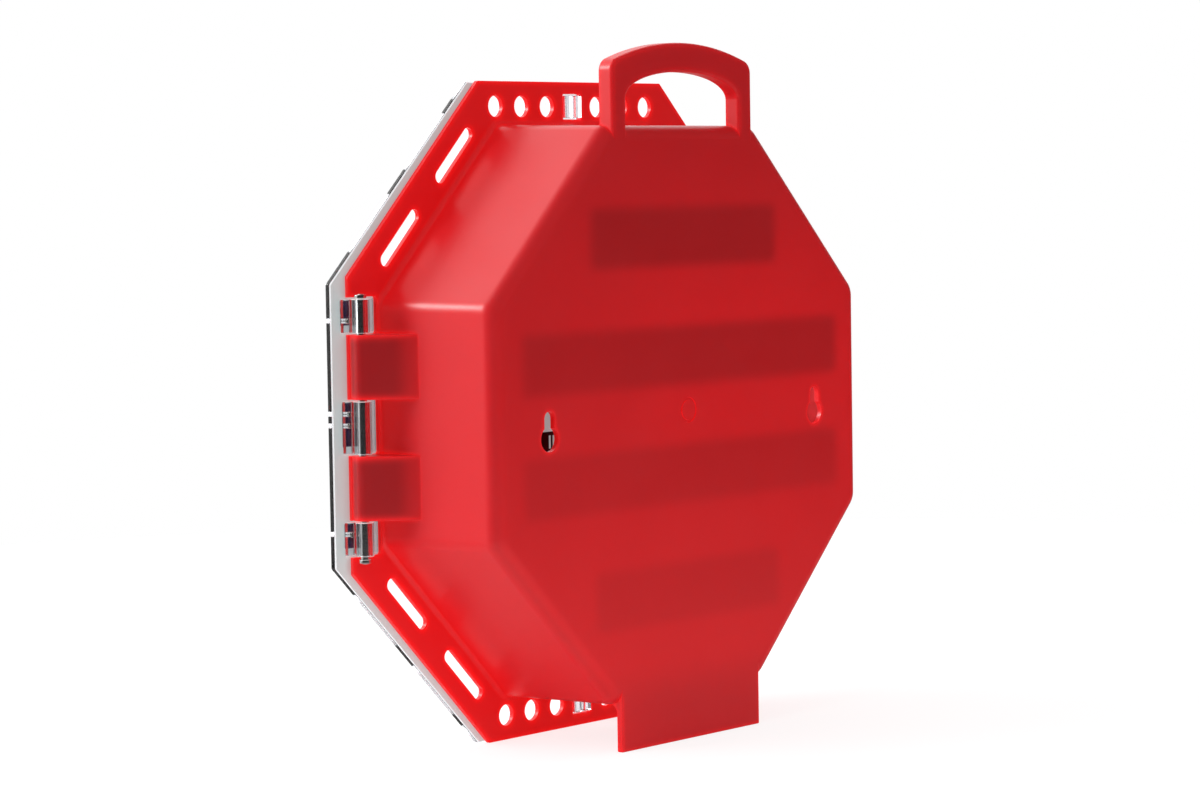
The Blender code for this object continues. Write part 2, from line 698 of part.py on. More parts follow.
def build_tabs(hinge, clear):
    """Clear tabs on the door that enter the flange's windows, each split by a slot at its free end."""
    front, rear = DOOR_REAR + SEAT_GAP, TAB_REACH
    slots = bmesh.new()
    for name, side in side_patterns().items():
        x, z = along(side, 0, HOLE_EDGE)
        width, height = TAB_SLOT_WIDTH, WINDOW_HEIGHT
        if name == "latch":
            width, height = height, width
        outline = rectangle(x, z, width, height)
        add_prism(slots, outline, rear - TAB_SLOT_DEPTH, rear + OVERRUN)
    slots = make_helper("tab_slot_cutter", slots, hinge)
    for name, outline in tab_windows(TAB_CLEARANCE).items():
        bm = bmesh.new()
        add_prism(bm, outline, front, rear)
        combine(make_object(f"snap_tab_{name}", bm, hinge, clear), slots, "DIFFERENCE")


def hook_outline(back, z):
    """One hook in side view: an arm out of the rail with its tip turned up."""
    out, low = back - HOOK_REACH, z - HOOK_ROD
    return [
        (back, low), (back, z), (out + HOOK_ROD, z), (out + HOOK_ROD, z + HOOK_TIP),
        (out, z + HOOK_TIP), (out, low),
    ]


def build_rails(box, dark):
    """Four strips on the inside of the back wall, each with a row of moulded hooks."""
    rear = BACK - TRAY_WALL - SEAT_GAP
    front = rear - RAIL_THICKNESS
    lengths = (RAIL_SHORT, RAIL_LONG, RAIL_LONG, RAIL_SHORT)
    for number, length in enumerate(lengths, 1):
        z = MIDDLE - RAIL_CENTRE_DROP + RAIL_PITCH * ((len(lengths) + 1) / 2 - number)
        bm = bmesh.new()
        add_prism(bm, rounded_rectangle(0, z, length, RAIL_HEIGHT, HOOK_ROD), front, rear)
        rail = make_object(f"key_rail_{number}", bm, box, dark)
        count = int((length - HOOK_PITCH / 2) / HOOK_PITCH)
        hooks = bmesh.new()
        for k in range(count):
            x = (k - (count - 1) / 2) * HOOK_PITCH
            outline = hook_outline(front + SINK, z - HOOK_DROP)
            add_prism(hooks, outline, x - HOOK_WIDTH / 2, x + HOOK_WIDTH / 2, "X")
        combine(rail, make_helper(f"hooks_{number}_form", hooks, box), "UNION")


def main():
    clear_scene()
    right = SIDE + DOOR_OVERHANG - DOOR_INSET
    left = -SIDE
    centre = Vector((-(right + left) / 2, -(BACK + RIVET_FRONT) / 2, 0))
    box = make_empty("box_origin", centre)
    hinge = make_empty("door_hinge", Vector((HINGE_X, HINGE_Y, HINGE_Z)), box)

    red = make_material("red moulded plastic", (0.62, 0.012, 0.018), 0.3)
    clear = make_material("clear polycarbonate", (0.92, 0.94, 0.95), 0.05, transmission=0.9)
    printed = make_material("printed sheet", (0.8, 0.78, 0.77), 0.4)
    steel = make_material("polished steel", (0.7, 0.69, 0.66), 0.15, metallic=1.0)
    dark = make_material("dark grey plastic", (0.03, 0.03, 0.034), 0.45)

    build_body(box, red)
    build_door(hinge, clear, printed)
    build_knuckles(hinge, clear)
    build_rivets(hinge, steel)
    build_pin(box, steel)
    build_tabs(hinge, clear)
    build_rails(box, dark)


main()
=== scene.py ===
import math

import bmesh
import bpy
from mathutils import Matrix, Vector


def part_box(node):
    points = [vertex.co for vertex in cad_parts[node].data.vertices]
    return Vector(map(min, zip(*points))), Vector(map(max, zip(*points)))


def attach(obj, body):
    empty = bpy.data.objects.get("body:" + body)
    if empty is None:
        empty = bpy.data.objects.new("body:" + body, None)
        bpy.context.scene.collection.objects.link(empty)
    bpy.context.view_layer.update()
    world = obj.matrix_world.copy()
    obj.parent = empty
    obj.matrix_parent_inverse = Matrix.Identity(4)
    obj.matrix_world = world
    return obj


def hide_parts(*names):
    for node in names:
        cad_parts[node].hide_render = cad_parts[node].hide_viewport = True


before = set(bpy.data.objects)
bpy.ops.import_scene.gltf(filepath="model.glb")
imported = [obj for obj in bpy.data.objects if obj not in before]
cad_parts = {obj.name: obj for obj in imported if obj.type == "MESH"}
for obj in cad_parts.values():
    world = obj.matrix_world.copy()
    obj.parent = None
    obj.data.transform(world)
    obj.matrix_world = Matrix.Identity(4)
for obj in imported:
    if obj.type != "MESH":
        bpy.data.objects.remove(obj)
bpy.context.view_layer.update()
print("frame loaded:", len(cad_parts), "nodes")

# Pieces are drawn in box millimetres: x from the tray's middle, y from the flange's rear face,
# z from the ground. toFrame carries them to the frame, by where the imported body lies.
box = {"side": 343.0, "half": 171.5, "flangeFront": -2.8, "flangeRear": 0.0, "back": 76.2}
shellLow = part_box("body_shell")[0]
origin = (shellLow.x + box["half"] / 1000, shellLow.y - box["flangeFront"] / 1000, shellLow.z)
toFrame = Matrix.Translation(origin) @ Matrix.Scale(0.001, 4)
fromFrame = toFrame.inverted()


# shared mesh tools

def colour(hexText):
    parts = [int(hexText[i:i + 2], 16) / 255 for i in (1, 3, 5)]
    linear = [c / 12.92 if c <= 0.04045 else ((c + 0.055) / 1.055) ** 2.4 for c in parts]
    return (*linear, 1.0)


def makeObject(name, bm):
    bmesh.ops.recalc_face_normals(bm, faces=bm.faces)
    mesh = bpy.data.meshes.new(name)
    bm.to_mesh(mesh)
    bm.free()
    obj = bpy.data.objects.new(name, mesh)
    bpy.context.scene.collection.objects.link(obj)
    return obj


def settle(obj):
    graph = bpy.context.evaluated_depsgraph_get()
    mesh = bpy.data.meshes.new_from_object(obj.evaluated_get(graph), depsgraph=graph)
    obj.modifiers.clear()
    obj.data = mesh
    return obj


def combine(obj, tools, operation):
    for tool in tools:
        modifier = obj.modifiers.new(tool.name, "BOOLEAN")
        modifier.operation = operation
        modifier.object = tool
        modifier.solver = "EXACT"
    settle(obj)
    for tool in tools:
        bpy.data.objects.remove(tool)
    return obj


def bevel(obj, width, segments=3, angle=50):
    modifier = obj.modifiers.new("edges", "BEVEL")
    modifier.width = width
    modifier.segments = segments
    modifier.limit_method = "ANGLE"
    modifier.angle_limit = math.radians(angle)
    return settle(obj)


def finishPiece(obj, body, nodes, finishes, angle=32):
    # into the frame, smooth between sharp edges, flat faces kept flat
    mesh = obj.data
    mesh.transform(toFrame)
    mesh.materials.clear()
    for finish in finishes:
        mesh.materials.append(finish)
    mesh.shade_smooth()
    mesh.set_sharp_from_angle(angle=math.radians(angle))
    modifier = obj.modifiers.new("flat faces", "WEIGHTED_NORMAL")
    modifier.keep_sharp = True
    settle(obj)
    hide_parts(*nodes)
    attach(obj, body)
    return obj


def bridgeRows(bm, rows, closed=False):
    pairs = list(zip(rows, rows[1:]))
    if closed:
        pairs.append((rows[-1], rows[0]))
    for low, high in pairs:
        for i in range(len(low)):
            j = (i + 1) % len(low)
            bm.faces.new((low[i], low[j], high[j], high[i]))


def addLoft(bm, rings):
    rows = [[bm.verts.new(point) for point in ring] for ring in rings]
    bridgeRows(bm, rows)
    bm.faces.new(rows[0])
    bm.faces.new(rows[-1])


def addTube(bm, rings):
    # a ring with a hole through it: the last row meets the first
    rows = [[bm.verts.new(point) for point in ring] for ring in rings]
    bridgeRows(bm, rows, closed=True)


def arc(cx, cy, radius, start, end, steps):
    angles = [math.radians(start + (end - start) * i / steps) for i in range(steps + 1)]
    return [(cx + radius * math.cos(a), cy + radius * math.sin(a)) for a in angles]


def circle(radius, sides=40, cx=0.0, cy=0.0):
    return arc(cx, cy, radius, 0, 360, sides)[:-1]


def capsule(length, width, steps=16):
    half = (length - width) / 2
    return arc(half, 0, width / 2, -90, 90, steps) + arc(-half, 0, width / 2, 90, 270, steps)


def roundedBox(width, height, radius, steps=5, cx=0.0, cy=0.0):
    w, h = width / 2 - radius, height / 2 - radius
    corners = ((w, h, 0), (-w, h, 90), (-w, -h, 180), (w, -h, 270))
    return [p for x, y, a in corners for p in arc(cx + x, cy + y, radius, a, a + 90, steps)]


def insetOutline(points, inset, radius, steps=5):
    # a convex outline drawn in by inset, its corners rounded
    count = len(points)
    lines = []
    for i in range(count):
        a, b = Vector(points[i]), Vector(points[(i + 1) % count])
        along = (b - a).normalized()
        lines.append((a + Vector((-along.y, along.x)) * inset, along))
    result = []
    for i in range(count):
        (p, u), (q, v) = lines[i - 1], lines[i]
        cross = u.x * v.y - u.y * v.x
        t = ((q - p).x * v.y - (q - p).y * v.x) / cross
        corner = p + u * t
        bend = math.atan2(cross, u.dot(v))
        reach = radius * math.tan(bend / 2)
        centre = corner - u * reach + Vector((-u.y, u.x)) * radius
        start = math.degrees(math.atan2(-u.x, u.y))
        result += arc(centre.x, centre.y, radius, start, start + math.degrees(bend), steps)
    return result


def onY(outline, y):
    return [(a, y, b) for a, b in outline]


def onZ(outline, z):
    return [(a, b, z) for a, b in outline]


def lipRings(outlineAt, front, rear, lip, steps=4):
    # rings along Y whose outline grows by lip at both ends in a quarter round
    rings = [onY(outlineAt(lip), front - 1)]
    turns = [math.radians(90 - 90 * i / steps) for i in range(steps + 1)]
    for a in turns:
        rings.append(onY(outlineAt(lip * (1 - math.cos(a))), front + lip * (1 - math.sin(a))))
    for a in reversed(turns):
        rings.append(onY(outlineAt(lip * (1 - math.cos(a))), rear - lip * (1 - math.sin(a))))
    rings.append(onY(outlineAt(lip), rear + 1))
    return rings


def plateRings(outlineAt, front, rear, edge, steps=4):
    # rings of a plate along Y with a quarter round on its front and rear edges
    turns = [math.radians(90 * i / steps) for i in range(steps + 1)]
    rings = [onY(outlineAt(edge * (1 - math.sin(a))), front + edge * (1 - math.cos(a))) for a in turns]
    for a in reversed(turns):
        rings.append(onY(outlineAt(edge * (1 - math.sin(a))), rear - edge * (1 - math.cos(a))))
    return rings


def loftObject(name, rings):
    bm = bmesh.new()
    addLoft(bm, rings)
    return makeObject(name, bm)


def prism(name, outline, start, end, axis):
    if axis == "X":
        rings = [[(at, a, b) for a, b in outline] for at in (start, end)]
    elif axis == "Y":
        rings = [onY(outline, start), onY(outline, end)]
    else:
        rings = [onZ(outline, start), onZ(outline, end)]
    return loftObject(name, rings)


def latheObject(name, profile, sides=32, bored=False):
    # profile: (height, radius) along Z
    bm = bmesh.new()
    rings = [onZ(circle(r, sides), z) for z, r in profile]
    if bored:
        addTube(bm, rings)
    else:
        addLoft(bm, rings)
    return makeObject(name, bm)


# node tools

def addNode(tree, kind, attributes=(), inputs=()):
    node = tree.nodes.new(kind)
    for name, value in dict(attributes).items():
        setattr(node, name, value)
    for key, value in dict(inputs).items():
        if isinstance(value, bpy.types.NodeSocket):
            tree.links.new(value, node.inputs[key])
        else:
            node.inputs[key].default_value = value
    return node


def calc(tree, operation, first, second=0.0, clamp=False):
    return addNode(tree, "ShaderNodeMath", {"operation": operation, "use_clamp": clamp}, {
        0: first, 1: second}).outputs[0]


def times(tree, first, second):
    return calc(tree, "MULTIPLY", first, second)


def ramp(tree, value, start, end, low=0.0, high=1.0, kind="SMOOTHSTEP"):
    # low at start, high at end, held beyond both
    return addNode(tree, "ShaderNodeMapRange", {"interpolation_type": kind}, {
        "Value": value, "From Min": start, "From Max": end, "To Min": low, "To Max": high}).outputs["Result"]


def noise(tree, place, scale, detail=2.0):
    return addNode(tree, "ShaderNodeTexNoise", {}, {
        "Vector": place, "Scale": scale, "Detail": detail}).outputs[0]


def blend(tree, factor, first, second):
    return addNode(tree, "ShaderNodeMix", {"data_type": "RGBA"}, {
        "Factor": factor, 6: first, 7: second}).outputs[2]


def bumpNormal(tree, height, strength, distance):
    return addNode(tree, "ShaderNodeBump", {}, {
        "Height": height, "Strength": strength, "Distance": distance}).outputs[0]


def ownPlace(tree):
    return addNode(tree, "ShaderNodeTexCoord").outputs["Object"]


def split(tree, vector):
    return addNode(tree, "ShaderNodeSeparateXYZ", {}, {0: vector}).outputs


def inFrame(x=0.0, y=0.0, z=0.0):
    return toFrame @ Vector((x, y, z))


def rowTree():
    # a shape repeated along a straight row, its faces given one finish
    tree = bpy.data.node_groups.new("row of pieces", "GeometryNodeTree")
    tree.interface.new_socket(name="Geometry", in_out="OUTPUT", socket_type="NodeSocketGeometry")
    for name, kind in (("Shape", "Object"), ("Count", "Int"), ("First place", "Vector"),
                       ("Step", "Vector"), ("Turn", "Vector"), ("Finish", "Material")):
        tree.interface.new_socket(name=name, in_out="INPUT", socket_type="NodeSocket" + kind)
    given = addNode(tree, "NodeGroupInput").outputs
    line = addNode(tree, "GeometryNodeMeshLine", {"mode": "OFFSET"}, {
        "Count": given["Count"], "Start Location": given["First place"], "Offset": given["Step"]})
    shape = addNode(tree, "GeometryNodeObjectInfo", {}, {"Object": given["Shape"]})
    placed = addNode(tree, "GeometryNodeInstanceOnPoints", {}, {
        "Points": line.outputs["Mesh"], "Instance": shape.outputs["Geometry"], "Rotation": given["Turn"]})
    real = addNode(tree, "GeometryNodeRealizeInstances", {}, {"Geometry": placed.outputs["Instances"]})
    painted = addNode(tree, "GeometryNodeSetMaterial", {}, {
        "Geometry": real.outputs["Geometry"], "Material": given["Finish"]})
    addNode(tree, "NodeGroupOutput", {}, {"Geometry": painted.outputs["Geometry"]})
    return tree


pieceRow = rowTree()
rowSockets = {item.name: item.identifier for item in pieceRow.interface.items_tree if item.in_out == "INPUT"}


def makeRow(name, shape, count, first, step=(0, 0, 0), turn=0.0, finish=None):
    obj = makeObject(name, bmesh.new())
    modifier = obj.modifiers.new("row", "NODES")
    modifier.node_group = pieceRow
    values = {"Shape": shape, "Count": count, "First place": first, "Step": step,
              "Turn": (0.0, math.radians(turn), 0.0), "Finish": finish}
    for key, value in values.items():
        modifier[rowSockets[key]] = value
    obj.update_tag()
    return settle(obj)


def joinMeshes(name, objects):
    bm = bmesh.new()
    for obj in objects:
        bm.from_mesh(obj.data)
        bpy.data.objects.remove(obj)
    mesh = bpy.data.meshes.new(name)
    bm.to_mesh(mesh)
    bm.free()
    joined = bpy.data.objects.new(name, mesh)
    bpy.context.scene.collection.objects.link(joined)
    return joined


# finishes

def newFinish(name):
    material = bpy.data.materials.new(name)
    material.use_nodes = True
    material.node_tree.nodes.clear()
    return material


def closeFinish(material, shader):
    out = addNode(material.node_tree, "ShaderNodeOutputMaterial")
    material.node_tree.links.new(shader, out.inputs["Surface"])
    return material


def softBand(tree, value, middle, half, soft):
    # 1 near middle, fading to 0 over soft at the distance half, in metres
    away = calc(tree, "ABSOLUTE", calc(tree, "SUBTRACT", value, middle))
    return ramp(tree, away, half - soft / 2, half + soft / 2, 1.0, 0.0)


hinge = {"x": 167.9, "y": 4.8, "barrel": 4.6, "bore": 2.7, "rivetX": 171.6, "rivetHole": 1.2}
hoodSpans = ((124.6, 156.7), (184.7, 216.8))
knuckleSpans = {"top": (217.7, 234.4), "middle": (157.6, 183.8), "bottom": (107.0, 123.7)}
redPlastic = {
    "base": "#E21F27", "deep": "#8A1218", "shadedHood": "#A8141B", "lit": "#FF1410", "roughness": 0.34,
    # height, length and strength of the painted shadow, a soft dark bar on the back wall before each rail
    "bars": ((261.6, 150.0, 0.36), (200.4, 256.0, 0.3), (139.2, 256.0, 0.21), (78.0, 150.0, 0.16)),
    "railShadowHalf": 15.0, "railShadowSoft": 9.0, "railShadowEndSoft": 0.012, "backWall": 73.0,
    "hoodStart": 150.5, "hoodFull": 160.0, "hoodShade": 0.7,
    "glow": 0.6, "glowDepth": 0.009, "through": 0.19, "throughEnd": 27.0,
    "hollowLow": 0.13, "hollowHigh": 0.03, "edgeReach": 0.005, "edgeLight": 0.3,
}


def redMouldedPlastic():
    # Glossy moulded thermoplastic, slightly see-through: saturated, smooth, with faint long waves
    # from the mould; painted shadows of the rails as soft dark bars on the back wall, painted shade on the
    # hoods and painted glow from thin walls and edges.
    piece = redPlastic
    material = newFinish("red moulded plastic")
    tree = material.node_tree
    place = ownPlace(tree)
    parts = split(tree, place)
    # painted shadow: soft dark bars on the back wall where the rails behind it would shade the see-through
    # plastic
    dark = 0.0
    for height, length, strength in piece["bars"]:
        band = softBand(tree, parts["Z"], height / 1000, piece["railShadowHalf"] / 1000, piece["railShadowSoft"] / 1000)
        across = softBand(tree, parts["X"], inFrame().x, length / 2000, piece["railShadowEndSoft"])
        dark = calc(tree, "ADD", dark, times(tree, times(tree, band, across), strength))
    wallStart = inFrame(y=piece["backWall"]).y
    behind = ramp(tree, parts["Y"], wallStart, wallStart + 0.003)
    # broad, very faint drift of the pigment
    drift = ramp(tree, noise(tree, place, 18.0), 0.3, 0.7, 0.0, 0.06, "LINEAR")
    # the painted rail shadows and the pigment drift both blend towards the deep red
    total = calc(tree, "ADD", times(tree, dark, behind), drift, True)
    tint = blend(tree, total, colour(piece["base"]), colour(piece["deep"]))
    # painted shade: the hoods, solid and letting less light through than the thin walls, are darkened towards
    # a deeper red
    acrossHoods = ramp(tree, parts["X"], inFrame(x=piece["hoodStart"]).x, inFrame(x=piece["hoodFull"]).x)
    offFlange = ramp(tree, parts["Y"], inFrame(y=0.2).y, inFrame(y=3.0).y)
    upper, lower = [softBand(tree, parts["Z"], (a + b) / 2000, (b - a) / 2000 - 0.002, 0.006)
                    for a, b in hoodSpans]
    shadedHood = times(tree, times(tree, acrossHoods, offFlange), calc(tree, "ADD", upper, lower))
    tint = blend(tree, times(tree, shadedHood, piece["hoodShade"]), tint, colour(piece["shadedHood"]))
    # painted glow: an emission stands in for the light the thin flange lets through from the front
    glow = ramp(tree, parts["Y"], inFrame().y, inFrame(y=piece["throughEnd"]).y, piece["through"], 0.0)
    glow = times(tree, glow, calc(tree, "SUBTRACT", 1.0, shadedHood))
    # painted glow: an emission stands in for the light the back wall lets out of the hollow, more of it low
    # down
    hollow = ramp(tree, parts["Z"], 0.05, 0.32, piece["hollowLow"], piece["hollowHigh"], "LINEAR")
    hollow = times(tree, times(tree, hollow, behind), ramp(tree, parts["Z"], 0.015, 0.045))
    glow = calc(tree, "ADD", glow, hollow)
    # painted glow: an emission brightens the rounded edges, standing in for light gathering in the
    # see-through plastic
    rounded = addNode(tree, "ShaderNodeBevel", {"samples": 6}, {"Radius": piece["edgeReach"]})
    facing = addNode(tree, "ShaderNodeVectorMath", {"operation": "DOT_PRODUCT"}, {
        0: rounded.outputs[0], 1: addNode(tree, "ShaderNodeNewGeometry").outputs["Normal"]})
    edge = ramp(tree, facing.outputs["Value"], 1.0, 0.75, 0.0, piece["edgeLight"], "LINEAR")
    # handling leaves patches a touch less glossy, a few centimetres across
    gloss = piece["roughness"]
    worn = ramp(tree, noise(tree, place, 42.0), 0.35, 0.7, gloss, gloss + 0.05, "LINEAR")
    shader = addNode(tree, "ShaderNodeBsdfPrincipled", {}, {
        "Base Color": tint, "Roughness": worn, "IOR": 1.5,
        "Normal": bumpNormal(tree, noise(tree, place, 22.0, 0.0), 0.2, 0.0006),
        "Subsurface Weight": piece["glow"], "Subsurface Scale": piece["glowDepth"],
        "Subsurface Radius": (1.0, 0.12, 0.12), "Emission Color": colour(piece["lit"]),
        "Emission Strength": calc(tree, "ADD", glow, edge)})
    return closeFinish(material, shader.outputs[0])


clearPlastic = {"tint": "#F4F6F9", "roughness": 0.03, "haze": 0.06, "ior": 1.58,
                "cut": "#F3F3F5", "cutGlow": 0.35}


def clearPolycarbonate():
    # Clear polycarbonate sheet and mouldings: colourless, glossy, faintly hazed by use
    piece = clearPlastic
    material = newFinish("clear polycarbonate")
    tree = material.node_tree
    gloss, marks = piece["roughness"], noise(tree, ownPlace(tree), 60.0, 5.0)
    haze = ramp(tree, marks, 0.4, 0.75, gloss, gloss + piece["haze"], "LINEAR")
    shader = addNode(tree, "ShaderNodeBsdfPrincipled", {}, {
        "Base Color": colour(piece["tint"]), "Roughness": haze,
        "Transmission Weight": 1.0, "IOR": piece["ior"]})
    through = addNode(tree, "ShaderNodeBsdfTransparent", {}, {"Color": colour(piece["tint"])})
    path = addNode(tree, "ShaderNodeLightPath")
    mixed = addNode(tree, "ShaderNodeMixShader", {}, {
        0: path.outputs["Is Shadow Ray"], 1: shader.outputs[0], 2: through.outputs[0]})
    return closeFinish(material, mixed.outputs[0])


def frostedCut():
    # Cut walls of the sheet's holes: the same plastic, whitened and matt from the cutter, and given a painted
    # glow for the light the clear sheet carries to them
    piece = clearPlastic
    material = newFinish("clear polycarbonate, cut walls")
    tree = material.node_tree
    marks = noise(tree, ownPlace(tree), 700.0)
    shader = addNode(tree, "ShaderNodeBsdfPrincipled", {}, {
        "Base Color": colour(piece["cut"]), "Roughness": ramp(tree, marks, 0.0, 1.0, 0.4, 0.6, "LINEAR"),
        "Emission Color": colour(piece["cut"]), "Emission Strength": piece["cutGlow"]})
    return closeFinish(material, shader.outputs[0])


printedSheet = {
    "rear": "#C6C4C4", "mottle": "#BEBCBC", "light": "#DCF2F2", "glow": 0.3, "leafReflection": "#3B2A55",
    "border": "#8E1B20", "panel": "#2B2C30", "writing": "#D9D8D4", "rule": "#6E6F73",
    # middle of the number plate; marks on it: across, width and height
    "number": (15.0, 153.0), "one": (3.4, 1.5, 7.0), "zero": (-1.6, 5.4, 7.0), "zeroMiddle": (-1.6, 2.4, 4.0),
    "ruleDrops": (30, 44, 58, 72, 86), "lineSoft": 0.0002, "lineHalf": 0.0003,
}


def paperBump(tree, place):
    return bumpNormal(tree, noise(tree, place, 1400.0), 0.12, 0.00004)


def areaMask(tree, parts, x, z, width, height):
    at, soft = inFrame(x, 0, z), printedSheet["lineSoft"]
    return times(tree, softBand(tree, parts["X"], at.x, width / 2000, soft),
                 softBand(tree, parts["Z"], at.z, height / 2000, soft))


def sheetRear():
    # Unprinted back of coated card stock: off-white, matt, a little mottled, with a painted glow for the
    # light coming through
    piece = printedSheet
    material = newFinish("coated card, unprinted side")
    tree = material.node_tree
    place = ownPlace(tree)
    parts = split(tree, place)
    tint = blend(tree, noise(tree, place, 120.0, 4.0), colour(piece["rear"]), colour(piece["mottle"]))
    # a dark plate number, a one and a zero, behind the left keyhole
    x, z = piece["number"]
    one, ring, middle = [areaMask(tree, parts, x + shift, z, wide, tall)
                         for shift, wide, tall in (piece["one"], piece["zero"], piece["zeroMiddle"])]
    digits = calc(tree, "ADD", one, calc(tree, "SUBTRACT", ring, middle))
    dark = calc(tree, "SUBTRACT", areaMask(tree, parts, x, z, 26, 11), digits)
    tint = blend(tree, dark, tint, colour(piece["panel"]))
    # painted reflection: dark patches under the clear knuckle leaves, where they mirror the dark printed edge
    for low, high in knuckleSpans.values():
        leafReflection = areaMask(tree, parts, 170.4, (low + high) / 2 + 1.5, 6.6, high - low - 4.5)
        tint = blend(tree, leafReflection, tint, colour(piece["leafReflection"]))
        dark = calc(tree, "MAXIMUM", dark, leafReflection)
    # painted glow for the light coming through the card, kept off the dark print and the dark patches
    glow = times(tree, calc(tree, "SUBTRACT", 1.0, dark), piece["glow"])
    shader = addNode(tree, "ShaderNodeBsdfPrincipled", {}, {
        "Base Color": tint, "Roughness": 0.55, "Normal": paperBump(tree, place),
        "Emission Color": colour(piece["light"]), "Emission Strength": glow})
    return closeFinish(material, shader.outputs[0])


def sheetFront():
    # Printed side: a plain border, a dark middle and a ruled writing panel, under a satin coat
    piece = printedSheet
    material = newFinish("coated card, printed side")
    tree = material.node_tree
    place = ownPlace(tree)
    parts = split(tree, place)
    centre = inFrame(z=box["half"])
    tint = blend(tree, areaMask(tree, parts, 0, box["half"], 236, 236), colour(piece["border"]),
                 colour(piece["panel"]))
    writing = areaMask(tree, parts, 0, 119.5, 196, 84)
    tint = blend(tree, writing, tint, colour(piece["writing"]))
    rules = 0.0
    for drop in piece["ruleDrops"]:
        line = softBand(tree, parts["Z"], centre.z - drop / 1000, piece["lineHalf"], piece["lineSoft"])
        rules = calc(tree, "MAXIMUM", rules, line)
    rules = times(tree, rules, softBand(tree, parts["X"], centre.x, 0.088, piece["lineSoft"]))
    tint = blend(tree, times(tree, rules, writing), tint, colour(piece["rule"]))
    shader = addNode(tree, "ShaderNodeBsdfPrincipled", {}, {
        "Base Color": tint, "Roughness": 0.38, "Normal": paperBump(tree, place)})
    return closeFinish(material, shader.outputs[0])


steel = {"tint": "#EEEDEA", "gloss": (0.06, 0.14), "lines": (60.0, 60.0, 3300.0)}


def polishedSteel():
    # Bright drawn steel: pale grey metal with fine lines round the pin, about 0.3 mm apart
    piece = steel
    material = newFinish("polished steel")
    tree = material.node_tree
    stretched = addNode(tree, "ShaderNodeMapping", {}, {"Vector": ownPlace(tree), "Scale": piece["lines"]})
    lines = noise(tree, stretched.outputs[0], 1.0)
    shader = addNode(tree, "ShaderNodeBsdfPrincipled", {}, {
        "Base Color": colour(piece["tint"]), "Metallic": 1.0,
        "Roughness": ramp(tree, lines, 0.3, 0.7, *piece["gloss"], "LINEAR"),
        "Normal": bumpNormal(tree, lines, 0.15, 0.00003)})
    return closeFinish(material, shader.outputs[0])


filledPlastic = {"shades": ("#2A2A2D", "#38383C"), "roughness": 0.45}


def darkPlastic():
    # Dark grey filled plastic, spark-eroded mould finish: satin, with a grain of about 0.5 mm
    piece = filledPlastic
    material = newFinish("dark grey plastic")
    tree = material.node_tree
    place = ownPlace(tree)
    deeper, paler = (colour(shade) for shade in piece["shades"])
    shader = addNode(tree, "ShaderNodeBsdfPrincipled", {}, {
        "Base Color": blend(tree, noise(tree, place, 70.0, 3.0), deeper, paler),
        "Roughness": piece["roughness"],
        "Normal": bumpNormal(tree, noise(tree, place, 2000.0), 0.3, 0.00006)})
    return closeFinish(material, shader.outputs[0])


redFinish = redMouldedPlastic()
clearFinish = clearPolycarbonate()
cutFinish = frostedCut()
rearFinish = sheetRear()
frontFinish = sheetFront()
steelFinish = polishedSteel()
darkFinish = darkPlastic()
print("finishes made")


# holes shared by the flange, the door and the label

holes = {
    "diameter": 11.0, "pitch": 20.1, "edge": 13.0, "each": 3,
    "slotLength": 37.0, "slotWidth": 6.8, "slotFirst": (133.39, 92.38), "slotStep": 41.01,
    "window": (14.3, 13.4), "windowCorner": 0.5,
}
# x, z and turn in degrees of the flange's windows, where the door's tabs snap in
windowPlaces = {"top": (0.0, 330.0, 0), "bottom": (0.0, 13.0, 0), "latch": (-158.5, 171.5, 90)}


def holeTools(front, rear, extraHole, extraSlot, lip, windows):
    half = box["half"]
    diameter, pitch, each = holes["diameter"] + extraHole, holes["pitch"], holes["each"]
    length, width = holes["slotLength"] + extraSlot, holes["slotWidth"] + extraSlot
    hole = loftObject("hole shape", lipRings(lambda d: circle(diameter / 2 + d), front, rear, lip))
    slot = loftObject("slot shape", lipRings(
        lambda d: capsule(length + 2 * d, width + 2 * d), front, rear, lip))
    rows = []
    for sign in (-1, 1):
        for z in (box["side"] - holes["edge"], holes["edge"]):
            rows.append(makeRow("holes", hole, each, (sign * pitch, 0, z), (sign * pitch, 0, 0)))
        first = (holes["edge"] - half, 0, half + sign * pitch)
        rows.append(makeRow("holes", hole, each, first, (0, 0, sign * pitch)))
    far, near = holes["slotFirst"]
    for sx in (-1, 1):
        for sz in (-1, 1):
            step = (-sx * holes["slotStep"], 0, sz * holes["slotStep"])
            rows.append(makeRow("slots", slot, 2, (sx * far, 0, half + sz * near), step, 45 * sx * sz))
    if windows:
        (wide, tall), corner = holes["window"], holes["windowCorner"]
        shape = loftObject("window shape", lipRings(
            lambda d: roundedBox(wide + 2 * d, tall + 2 * d, corner + d), front, rear, lip))
        for x, z, turn in windowPlaces.values():
            rows.append(makeRow("window", shape, 1, (x, 0, z), turn=turn))
        bpy.data.objects.remove(shape)
    bpy.data.objects.remove(hole)
    bpy.data.objects.remove(slot)
    return joinMeshes("hole tools", rows)


# the red moulding

moulding = {
    "flangeCorner": 1.2, "flangeEdge": 0.5, "holeLip": 0.35, "chamfer": 1.0,
    "drawIn": 1.7, "wall": 3.0, "cornerRadius": 9.0, "backRadius": 8.0, "footRadius": 3.0,
    # the tray's straight, slanted and end walls: their distance from the middle
    "sideReach": 150.6, "slantReach": 148.64, "endReach": 148.6,
    "hoodEdge": 0.45, "hoodRoot": 149.1, "hoodClimb": 27.3, "boreLow": 117.0, "boreHigh": 225.0,
}
flangeOctagon = [(73.5, 0), (171.5, 98), (171.5, 245), (73.5, 343),
                 (-73.5, 343), (-171.5, 245), (-171.5, 98), (-73.5, 0)]
rivetHeights = (223.7, 177.5, 171.7, 117.7)


